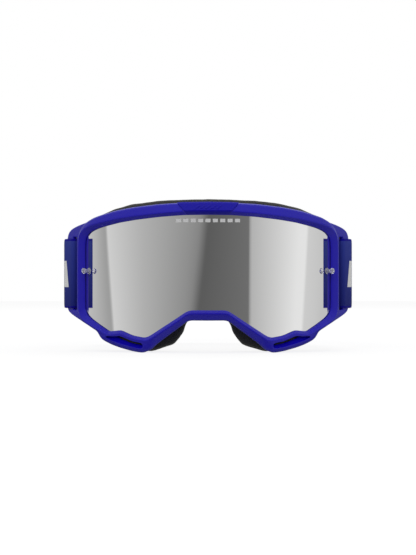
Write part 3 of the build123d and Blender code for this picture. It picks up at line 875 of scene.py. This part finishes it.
foam_looks = {
    "foam_base": foam_material("firm_foam", (0.012, 0.012, 0.011), (0.050, 0.050, 0.045), 1500.0, 0.00025),
    "foam_middle": foam_material("soft_foam", (0.014, 0.014, 0.013), (0.060, 0.060, 0.055), 1000.0, 0.00045),
}
fleece, tree, shader, place = new_material("brushed_fleece", (0.012, 0.012, 0.012), 1.0)
shader.inputs["Sheen Weight"].default_value = 0.45
shader.inputs["Sheen Roughness"].default_value = 0.45
shader.inputs["Specular IOR Level"].default_value = 0.1
fibres = noise(tree, place, 1400.0, 5.0, 0.75)
tufts = noise(tree, place, 220.0, 3.0, 0.6)
tree.links.new(mix(tree, tufts, (0.012, 0.012, 0.012), (0.045, 0.045, 0.045)), shader.inputs["Base Color"])
bump(tree, shader, math(tree, "ADD", fibres, tufts), 0.0004, 0.8)
foam_looks["foam_fleece"] = fleece

soft_lumps = bpy.data.textures.new("soft_lumps", "CLOUDS")
soft_lumps.noise_scale = 0.012
layer_front = glue_line
for name, thickness in foam_layers.items():
    loops = [foam_loop(section, layer_front, thickness, 0.8) for section in ring]
    foam_mesh = draw_loops(loops)[0]
    both_sides(foam_mesh)
    layer = finish_piece(foam_mesh, name.replace("foam", "face_foam"), foam_looks[name], "goggles")
    subdivide(layer, 2)
    lumps = layer.modifiers.new("lumps", "DISPLACE")
    lumps.texture = soft_lumps
    lumps.texture_coords = "LOCAL"
    lumps.strength = 0.0007
    lumps.mid_level = 0.5
    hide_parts(name)
    layer_front += thickness + glue_line

# ---------------------------------------------------------------------------------------------
# Vent foams. Coarse black filter foam, cut in strips and pressed in behind the vents: one under
# the lens bar of each cheek vent, and one long strip inside the brow.
# ---------------------------------------------------------------------------------------------
filter_foam = foam_material("filter_foam", (0.008, 0.008, 0.006), (0.045, 0.045, 0.036), 700.0, 0.0006)
fleck = bpy.data.textures.new("coarse_lumps", "CLOUDS")
fleck.noise_scale = 0.002


def to_side(mesh, side):
    """Mirrors a mesh built on the right for the left, and turns its faces outwards."""
    if side < 0:
        bmesh.ops.scale(mesh, vec=(-1, 1, 1), verts=mesh.verts)
    bmesh.ops.recalc_face_normals(mesh, faces=mesh.faces)


def foam_strip(corners, name, node, side, joined):
    """A strip of foam from one section's corners to the next, its cut edges slightly ragged."""
    mesh, grid = draw_loops(corners)
    for end in (grid[0], grid[-1]):
        mesh.faces.new(end)
    if joined:
        mesh.faces.remove(next(face for face in mesh.faces if set(face.verts) == set(grid[0])))
        both_sides(mesh)
    to_side(mesh, side)
    strip = finish_piece(mesh, name, filter_foam, "goggles")
    subdivide(strip, 3)
    ragged = strip.modifiers.new("ragged", "DISPLACE")
    ragged.texture = fleck
    ragged.texture_coords = "LOCAL"
    ragged.strength = 0.0005
    ragged.mid_level = 0.5
    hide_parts(node)


near, far = vent_bar + 0.2, vent_bar + 1.9
vent_corners = [
    [
        section.lens(near, -1.0), section.lens(far, -1.0), section.lens(far, -2.5), section.lens(far, -4.0),
        section.lens(near, -4.0), section.lens(near, -2.5),
    ]
    for section in ring if section.vent > 0.99
]
for label, side in (("left", -1), ("right", 1)):
    foam_strip(vent_corners, f"cheek_vent_foam_{label}", f"lower_vent_foam_{label}", side, False)

brow_foam_end = 64.0
brow_foam_half = 6.3
brow_corners = []
for section in ring:
    if section.z > 50 and section.x < brow_foam_end:
        high = section.width - wall - 1.5
        low = high - 2.8
        centre = (section.lens_depth(0.0, 0.0) + 7.0 + section.face_depth(0.0, -flange_thickness)) / 2
        front, back = centre - brow_foam_half, centre + brow_foam_half
        brow_corners.append([
            section.at(high, front), section.at(high, centre), section.at(high, back),
            section.at(low, back), section.at(low, centre), section.at(low, front),
        ])
foam_strip(brow_corners, "brow_vent_foam", "top_vent_foam", 1, True)

# ---------------------------------------------------------------------------------------------
# Strap. Woven elastic 45 mm wide, in one length: through the slot of each ear, round its bar and
# back on itself to a folded, stitched hem. Darker woven edges, and white slanted bars by the ear.
# ---------------------------------------------------------------------------------------------
strap_lean = radians(5.0)
strap_gap = 0.1
layer_pitch = strap_thickness + strap_gap
wrap_radius = ear_thickness / 2 + strap_gap + strap_thickness / 2
run_start, run_end = 72.0, 160.0
run_start_x = ear_reach + 0.4 + layer_pitch + strap_thickness / 2
run_end_x = run_start_x - (run_end - run_start) * sin(strap_lean) / cos(strap_lean)
back_radius = run_end_x / cos(strap_lean)
back_centre = run_end - back_radius * sin(strap_lean)
tail_end = 154.0


def on_run(depth, inward):
    """A place in plan on the straight run of the strap, moved in towards the head."""
    x = run_start_x - (depth - run_start) * sin(strap_lean) / cos(strap_lean) - inward * cos(strap_lean)
    return Vector((x, depth - inward * sin(strap_lean)))


def by_bar(point, along, out):
    """A place in plan from a point of the bar: along the ear's plate and out from it."""
    return point + bar_along * along + bar_front * out


def bend_round(before, corner, after, radius):
    """Plan points of an arc that rounds a corner."""
    arriving, leaving = (corner - before).normalized(), (after - corner).normalized()
    turning = arriving.angle_signed(leaving)
    reach = radius * abs(sin(turning / 2) / cos(turning / 2))
    start = corner - arriving * reach
    side = Vector((arriving.y, -arriving.x)) * (1 if turning > 0 else -1)
    centre = start + side * radius
    steps = max(2, ceil(abs(turning) / radians(10)))
    spoke = start - centre
    points = []
    for step in range(steps + 1):
        angle = -turning * step / steps
        points.append(centre + Vector((
            spoke.x * cos(angle) - spoke.y * sin(angle), spoke.x * sin(angle) + spoke.y * cos(angle),
        )))
    return points


def straight(start, end, step=4.0):
    """Plan points along a straight stretch, without its ends."""
    steps = max(1, ceil((end - start).length / step))
    return [start.lerp(end, number / steps) for number in range(1, steps)]


def draw_run(line, corners):
    """Adds straights and rounded bends to plan points; gives the number of the last bend's end."""
    bend_end = 0
    for before, corner, after in zip(corners, corners[1:], corners[2:]):
        rounded = bend_round(before, corner, after, 4.0)
        line += straight(line[-1], rounded[0]) + rounded
        bend_end = len(line) - 1
    line += straight(line[-1], corners[-1]) + [corners[-1]]
    return bend_end


def strap_line():
    """Plan points of the middle of the strap on the right, from its tail to the middle of the back."""
    inner = [on_run(tail_end, layer_pitch), on_run(run_start, layer_pitch),
             by_bar(bar_end, 0, -wrap_radius - 0.15), by_bar(bar_start, 0, -wrap_radius)]
    outer = [by_bar(bar_start, 0, wrap_radius), by_bar(bar_end, 2.0, wrap_radius), on_run(run_start, 0),
             on_run(run_end, 0)]
    line = [inner[0]]
    draw_run(line, inner)
    for step in range(1, 14):
        angle = pi * step / 14
        line.append(by_bar(bar_start, -wrap_radius * sin(angle), -wrap_radius * cos(angle)))
    line.append(outer[0])
    zero = draw_run(line, outer)
    for step in range(1, 29):
        angle = strap_lean + (pi / 2 - strap_lean) * step / 28
        line.append(Vector((back_radius * cos(angle), back_centre + back_radius * sin(angle))))
    return line, zero


def ribbon(line, zero, half_thickness, low, high, rounding, start=0.0):
    """A closed ribbon along plan points, with its own lengthwise and height coordinates for the weave."""
    heights = [low + rounding + (high - low - 2 * rounding) * step / 10 for step in range(11)]
    profile = [(half_thickness, z, 1.0) for z in heights]
    profile += [(half_thickness * 0.4, high, 0.0), (-half_thickness * 0.4, high, 0.0)]
    profile += [(-half_thickness, z, -1.0) for z in reversed(heights)]
    profile += [(-half_thickness * 0.4, low, 0.0), (half_thickness * 0.4, low, 0.0)]
    lengths = [0.0]
    for here, there in zip(line, line[1:]):
        lengths.append(lengths[-1] + (there - here).length)
    loops, places = [], []
    for number, point in enumerate(line):
        before, after = line[max(number - 1, 0)], line[min(number + 1, len(line) - 1)]
        forward = (after - before).normalized()
        outward = Vector((forward.y, -forward.x))
        if number == len(line) - 1:
            outward = Vector((0, 1))
        loops.append([
            Vector(((point.x + outward.x * out) * MM, lens_front + (point.y + outward.y * out) * MM, z * MM))
            for out, z, side in profile
        ])
        reached = start + lengths[number] - lengths[zero]
        places.append([(reached * MM, z * MM, side) for out, z, side in profile])
    mesh, grid = draw_loops(loops)
    mesh.faces.new(grid[0])
    mesh.verts.index_update()
    order = [[vertex.index for vertex in points] for points in grid]
    weave_place = mesh.verts.layers.float_vector.new("weave_place")
    mesh.verts.ensure_lookup_table()
    for numbers, values in zip(order, places):
        for number, value in zip(numbers, values):
            mesh.verts[number][weave_place] = value
    return mesh


# woven threads: their height, and a mask of the gaps between them, where shade is painted
weave_group, weave_in, weave_out = shader_group(
    "elastic_weave",
    {"Vector": ("NodeSocketVector", (0, 0, 0)), "Thread": ("NodeSocketFloat", 0.0007)},
    {"Height": "NodeSocketFloat", "Gap": "NodeSocketFloat"},
)
weave_axes = add(weave_group, "ShaderNodeSeparateXYZ")
weave_group.links.new(weave_in.outputs["Vector"], weave_axes.inputs[0])
thread_turn = math(weave_group, "MULTIPLY", weave_axes.outputs["Y"], pi)
warp = math(weave_group, "DIVIDE", thread_turn, weave_in.outputs["Thread"])
pick_width = math(weave_group, "MULTIPLY", weave_in.outputs["Thread"], 1.35)
weft = math(weave_group, "DIVIDE", math(weave_group, "MULTIPLY", weave_axes.outputs["X"], pi), pick_width)
over = math(weave_group, "MULTIPLY", math(weave_group, "SINE", warp), math(weave_group, "SINE", weft))
rib = math(weave_group, "ABSOLUTE", math(weave_group, "SINE", warp))
threads = math(weave_group, "MULTIPLY_ADD", over, 0.35, math(weave_group, "MULTIPLY_ADD", rib, 0.4, 0.3))
weave_group.links.new(threads, weave_out.inputs["Height"])
weave_group.links.new(math(weave_group, "SUBTRACT", 1.0, threads, clamp=True), weave_out.inputs["Gap"])

webbing, tree, shader, place = new_material("woven_elastic", (0.022, 0.032, 0.20), 0.85)
shader.inputs["Specular IOR Level"].default_value = 0.10
shader.inputs["Sheen Weight"].default_value = 0.03
shader.inputs["Sheen Roughness"].default_value = 0.5
weave_place = add(tree, "ShaderNodeAttribute", attribute_name="weave_place")
weave = group_node(tree, weave_group, weave_place.outputs["Vector"], Thread=0.0007)
strap_axes = add(tree, "ShaderNodeSeparateXYZ")
tree.links.new(weave_place.outputs["Vector"], strap_axes.inputs[0])
along, up = strap_axes.outputs["X"], strap_axes.outputs["Y"]
# painted shade: the weave darker in the gaps between threads
woven = mix(tree, weave.outputs["Gap"], (0.042, 0.064, 0.37), (0.015, 0.022, 0.20))
# the weave darker towards the strap's lower edge
darker_below = spread(tree, up, strap_low * MM, strap_high * MM, 1.0, 0.0)
woven = mix(tree, math(tree, "MULTIPLY", darker_below, 0.75), woven, (0.008, 0.011, 0.13))
selvedge = math(tree, "SUBTRACT", 1.0, within(tree, up, (strap_low + 0.9) * MM, (strap_high - 0.9) * MM))
edged = mix(tree, selvedge, woven, (0.005, 0.002, 0.24))
# the printed bars: four, slanted, 17 mm high, from the bend at the ear back along the run
bars_start, bars_end = -0.0150, 0.0350
bars_low, bars_high = 0.0410, 0.0580
bar_pitch = 0.0135
bar_slant = -0.18
from_middle = math(tree, "SUBTRACT", up, (bars_low + bars_high) / 2)
slanted = math(tree, "MULTIPLY_ADD", from_middle, bar_slant, along)
bar_phase = math(tree, "FRACT", math(tree, "DIVIDE", math(tree, "SUBTRACT", slanted, bars_start), bar_pitch))
printed_bar = both(tree, math(tree, "LESS_THAN", bar_phase, 0.72), within(tree, up, bars_low, bars_high))
printed_bar = both(tree, printed_bar, within(tree, slanted, bars_start, bars_end))
printed_bar = both(tree, printed_bar, math(tree, "GREATER_THAN", strap_axes.outputs["Z"], 0.5))
# the ink too is darker in the gaps between threads: painted shade
ink = mix(tree, weave.outputs["Gap"], (0.86, 0.86, 0.85), (0.62, 0.62, 0.63))
tree.links.new(mix(tree, printed_bar, edged, ink), shader.inputs["Base Color"])
tree.links.new(math(tree, "MULTIPLY_ADD", printed_bar, -0.3, 0.88), shader.inputs["Roughness"])
fluff = noise(tree, place, 2500.0, 3.0)
bump(tree, shader, math(tree, "MULTIPLY_ADD", fluff, 0.3, weave.outputs["Height"]), 0.00022, 0.8)

middle_line, zero_point = strap_line()
strap_mesh = ribbon(middle_line, zero_point, strap_thickness / 2, strap_low, strap_high, 0.9)
both_sides(strap_mesh)
strap = finish_piece(strap_mesh, "head_strap", webbing, "goggles")
subdivide(strap, 1)
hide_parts("strap")

# the hem at each tail: the end folded over, and held by two rows of stitches
thread, tree, shader, place = new_material("hem_thread", (0.030, 0.036, 0.23), 0.6)
twist = add(tree, "ShaderNodeTexWave", wave_type="BANDS", bands_direction="DIAGONAL")
twist.inputs["Scale"].default_value = 900.0
tree.links.new(place, twist.inputs["Vector"])
plied = mix(tree, twist.outputs["Fac"], (0.016, 0.020, 0.15), (0.045, 0.055, 0.30))
tree.links.new(plied, shader.inputs["Base Color"])
bump(tree, shader, twist.outputs["Fac"], 0.0001, 0.6)
hem_length = 7.0
hem_thickness = 1.3
hem_inward = layer_pitch + strap_thickness / 2 + strap_gap + hem_thickness / 2


def stitch(mesh, place, along, out):
    """One stitch: a short rounded thread that lies on the cloth and tapers into it at both ends."""
    made = bmesh.ops.create_uvsphere(mesh, u_segments=6, v_segments=5, radius=1.0)["verts"]
    across_thread = along.cross(out)
    for vertex in made:
        local = vertex.co
        where = place + across_thread * (0.22 * local.x) + out * (0.22 * local.y + 0.08)
        where += along * (1.35 * local.z)
        vertex.co = Vector((where.x * MM, where.y * MM + lens_front, where.z * MM))


for label, side in (("left", -1), ("right", 1)):
    fold = [on_run(tail_end - 0.3 - (hem_length - 0.6) * step / 6, hem_inward) for step in range(7)]
    # the weave coordinates start well past the printed bars
    hem_mesh = ribbon(fold, 0, hem_thickness / 2, strap_low, strap_high, 0.5, start=100.0)
    hem_end = [edge for edge in hem_mesh.edges if edge.is_boundary]
    bmesh.ops.contextual_create(hem_mesh, geom=hem_end)
    stitches = bmesh.new()
    head_side = Vector((-cos(strap_lean), -sin(strap_lean), 0))
    for row_depth in (tail_end - 1.6, tail_end - 5.0):
        row = on_run(row_depth, hem_inward + hem_thickness / 2)
        for number in range(11):
            middle = Vector((row.x, row.y, strap_low + 2.4 + 4.0 * number))
            stitch(stitches, middle, Vector((0, 0, 1)), head_side)
    to_side(hem_mesh, side)
    to_side(stitches, side)
    hem = finish_piece(hem_mesh, f"tail_hem_{label}", webbing, "goggles")
    subdivide(hem, 1)
    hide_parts(f"strap_hem_{label}")
    seam = finish_piece(stitches, f"tail_stitches_{label}", thread, "goggles")
    subdivide(seam, 1)

# ---------------------------------------------------------------------------------------------
# Grip lines. Three raised beads of clear blue silicone printed along the inside of the back of
# the strap, which keep it from sliding on a helmet.
# ---------------------------------------------------------------------------------------------
silicone, tree, shader, place = new_material("clear_blue_silicone", (0.030, 0.035, 0.22), 0.22)
shader.inputs["Coat Weight"].default_value = 0.3
shader.inputs["Transmission Weight"].default_value = 0.15
runs = noise(tree, place, 180.0, 3.0, 0.6)
tree.links.new(spread(tree, runs, 0.3, 0.7, 0.15, 0.35), shader.inputs["Roughness"])
tree.links.new(mix(tree, runs, (0.020, 0.025, 0.17), (0.045, 0.050, 0.27)), shader.inputs["Base Color"])
bump(tree, shader, runs, 0.0002, 0.6)
grip_thickness = 0.8
grip_width = 2.5
grip_start = 35.0
for label, level in (("lower", 36.8), ("middle", 49.8), ("upper", 62.8)):
    loops = []
    for step in range(31):
        angle = radians(grip_start + (90.0 - grip_start) * step / 30)
        # the bead thins out to its end
        thick = grip_thickness * min(1.0, 0.25 + step / 3)
        loop = []
        for turn_step in range(10):
            turning = 2 * pi * turn_step / 10
            radius = back_radius - strap_thickness / 2 - thick / 2 + thick / 2 * sin(turning)
            loop.append(Vector((
                radius * cos(angle) * MM, lens_front + (back_centre + radius * sin(angle)) * MM,
                (level + grip_width / 2 * cos(turning)) * MM,
            )))
        loops.append(loop)
    grip_mesh, grip_grid = draw_loops(loops)
    grip_mesh.faces.new(grip_grid[0])
    both_sides(grip_mesh)
    grip = finish_piece(grip_mesh, f"grip_bead_{label}", silicone, "goggles")
    subdivide(grip, 1)
    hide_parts(f"strap_grip_{label}")

# ---------------------------------------------------------------------------------------------
# Adjusters. A three-bar slide of black acetal on each side: two outer bars and an inner one hold
# both layers of the strap between two rails. Its outer bars have fine ribs for the fingers.
# ---------------------------------------------------------------------------------------------
acetal = moulded(
    "black_acetal", (0.010, 0.010, 0.012), 0.5, 5200.0, 0.8, (0.00003, 0.6), (0.6, 0.34, 0.58),
    scuffed=(0.045, 0.045, 0.048),
)[0]
adjuster_depth = 118.0
adjuster_length = 16.0
adjuster_bar = 3.0
adjuster_bar_thickness = 1.6
adjuster_rail = 2.5
adjuster_gap = 0.25
bar_out = (2 * strap_thickness + strap_gap) / 2 + adjuster_gap + adjuster_bar_thickness / 2
bar_span = strap_high - strap_low + 2 * adjuster_gap
strap_middle = (strap_low + strap_high) / 2


def slide_block(mesh, out, along, up, size, rounding):
    """A rounded block on the right adjuster, out from the middle of the two layers."""
    made = bmesh.ops.create_cube(mesh, size=1.0)["verts"]
    centre = on_run(adjuster_depth, layer_pitch / 2)
    outward = Vector((cos(strap_lean), sin(strap_lean)))
    backward = Vector((-sin(strap_lean), cos(strap_lean)))
    edges = list({edge for vertex in made for edge in vertex.link_edges})
    for vertex in made:
        local = vertex.co.copy()
        plan = centre + outward * (out + local.x * size[0]) + backward * (along + local.y * size[1])
        vertex.co = Vector((plan.x * MM, lens_front + plan.y * MM, (up + local.z * size[2]) * MM))
    round_edges(mesh, edges, rounding, 3)


for label, side in (("left", -1), ("right", 1)):
    slide_mesh = bmesh.new()
    rail_size = (2 * bar_out + adjuster_bar_thickness, adjuster_length, adjuster_rail)
    for end in (-1, 1):
        slide_block(slide_mesh, 0, 0, strap_middle + end * (bar_span + adjuster_rail) / 2, rail_size, 0.7)
    bar_size = (adjuster_bar_thickness, adjuster_bar, bar_span + 1.0)
    bar_step = (adjuster_length - adjuster_bar) / 2
    for out, along_slide in ((bar_out, bar_step), (bar_out, -bar_step), (-bar_out, 0)):
        slide_block(slide_mesh, out, along_slide, strap_middle, bar_size, 0.45)
    rib_out = bar_out + adjuster_bar_thickness / 2 - 0.05
    for along_slide in (bar_step, -bar_step):
        for number in range(-6, 7):
            level = strap_middle + 3.0 * number
            slide_block(slide_mesh, rib_out, along_slide, level, (0.5, 2.0, 0.8), 0.15)
    to_side(slide_mesh, side)
    slide = finish_piece(slide_mesh, f"slide_buckle_{label}", acetal, f"adjuster_{label}")
    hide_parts(f"adjuster_{label}")
